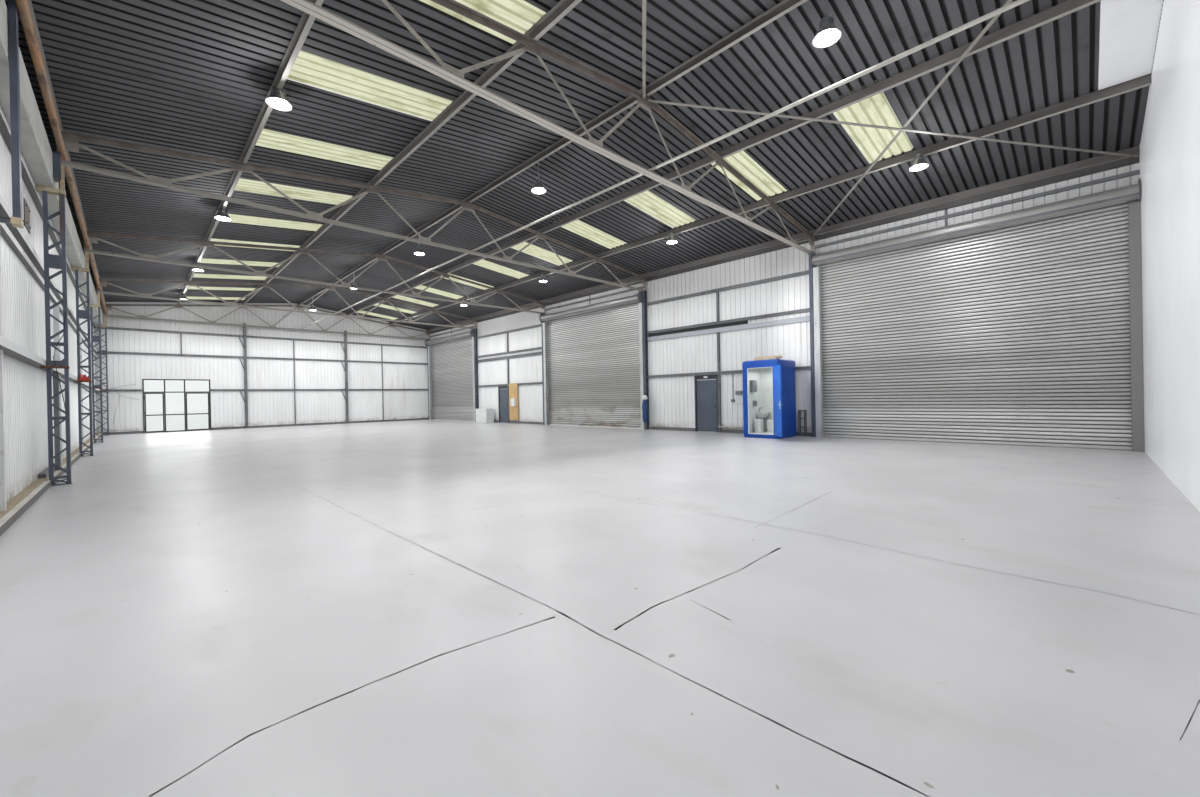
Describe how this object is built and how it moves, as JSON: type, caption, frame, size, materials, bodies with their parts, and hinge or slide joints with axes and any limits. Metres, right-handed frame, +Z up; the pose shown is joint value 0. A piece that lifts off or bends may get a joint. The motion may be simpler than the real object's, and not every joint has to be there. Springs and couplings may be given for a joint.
{
  "type": "factory building",
  "caption": "Single-storey steel factory hall with laced stanchions, lattice trusses, corrugated roof with translucent panels, roller shutters, side doors, a glazed screen and a blue cabin.",
  "frame": {"origin": "ground level under the middle of the hall", "axes": "+X along the hall from the plain near gable to the gable with the glazed screen, +Y from the shutter wall to the plain side wall, +Z up"},
  "size_m": [35.92, 18.04, 7.9033],
  "materials": {
    "floor_concrete": "matt painted concrete",
    "precast_concrete": "rough concrete",
    "blue_grey_steel": "satin paint",
    "grey_brown_steel": "worn primer",
    "dark_steel": "satin paint",
    "white_steel": "satin paint",
    "pale_steel": "satin paint",
    "rusty_steel": "rust",
    "timber_packing": "weathered",
    "fibre_cement": "matt",
    "translucent_sheet": "translucent",
    "trim_steel": "satin paint",
    "white_sheeting": "satin paint",
    "white_lining": "smooth",
    "galvanised_steel": "galvanised",
    "dark_door_steel": "satin paint",
    "black_aluminium": "powder coated",
    "clear_glass": "clear",
    "lamp_metal": "spun",
    "timber_board": "plywood",
    "blue_moulding": "satin",
    "light_blue_moulding": "satin",
    "white_moulding": "gloss"
  },
  "bodies": {
    "hall": {"floor_slab": "floor_concrete", "side_kerb": "floor_concrete", "stanchions_left": "blue_grey_steel", "stanchion_heads": "timber_packing", "stanchions_right": "blue_grey_steel", "truss_1": "grey_brown_steel", "truss_2": "grey_brown_steel", "truss_3": "grey_brown_steel", "truss_4": "grey_brown_steel", "truss_5": "grey_brown_steel", "purlins": "dark_steel", "eaves_beams": "dark_steel", "eaves_pipe": "rusty_steel", "tie_tube": "pale_steel", "wind_bracing": "grey_brown_steel", "roof_sheets_left": "fibre_cement", "roof_sheets_right": "fibre_cement", "rooflights": "translucent_sheet", "roof_trims": "trim_steel", "rainwater_pipes": "trim_steel", "side_wall_sheets": "white_sheeting", "side_wall_framing": "white_steel", "precast_eaves_beam": "precast_concrete", "shutter_wall_sheets": "white_sheeting", "shutter_wall_framing": "dark_steel", "shutter_curtains": "galvanised_steel", "shutter_guides": "galvanised_steel", "shutter_lintels": "dark_steel", "shutter_rolls": "galvanised_steel", "door_frames": "dark_door_steel", "end_wall_sheets": "white_sheeting", "end_wall_framing": "dark_steel", "screen_frame": "black_aluminium", "screen_glass": "clear_glass", "near_gable_wall": "white_lining", "gable_lining": "white_lining", "lamps": "lamp_metal", "service_fittings": "timber_board", "cabin_shell": "blue_moulding", "cabin_basin": "white_moulding"},
    "near_leaf": {"side_door_near": "dark_door_steel"},
    "far_leaf": {"side_door_far": "dark_door_steel"},
    "left_glazed_leaf": {"screen_leaf_left": "black_aluminium"},
    "right_glazed_leaf": {"screen_leaf_right": "black_aluminium"},
    "cabin_leaf": {"cabin_door": "light_blue_moulding"}
  },
  "joints": [
    {"name": "near_door_hinge", "type": "hinge", "parent": "hall", "child": "near_leaf", "pos_m": [-6.044, -8.522, 1.15], "axis": [0, 0, 1], "range_deg": [0, 100]},
    {"name": "far_door_hinge", "type": "hinge", "parent": "hall", "child": "far_leaf", "pos_m": [8.156, -8.522, 1.15], "axis": [0, 0, 1], "range_deg": [0, 100]},
    {"name": "left_screen_hinge", "type": "hinge", "parent": "hall", "child": "left_glazed_leaf", "pos_m": [17.812, 7.05, 1.15], "axis": [0, 0, 1], "range_deg": [0, 100]},
    {"name": "right_screen_hinge", "type": "hinge", "parent": "hall", "child": "right_glazed_leaf", "pos_m": [17.812, 4.4, 1.15], "axis": [0, 0, -1], "range_deg": [0, 100]},
    {"name": "cabin_door_hinge", "type": "hinge", "parent": "hall", "child": "cabin_leaf", "pos_m": [-9.95, -6.935, 1.15], "axis": [0, 0, 1], "range_deg": [-129, 5]}
  ]
}
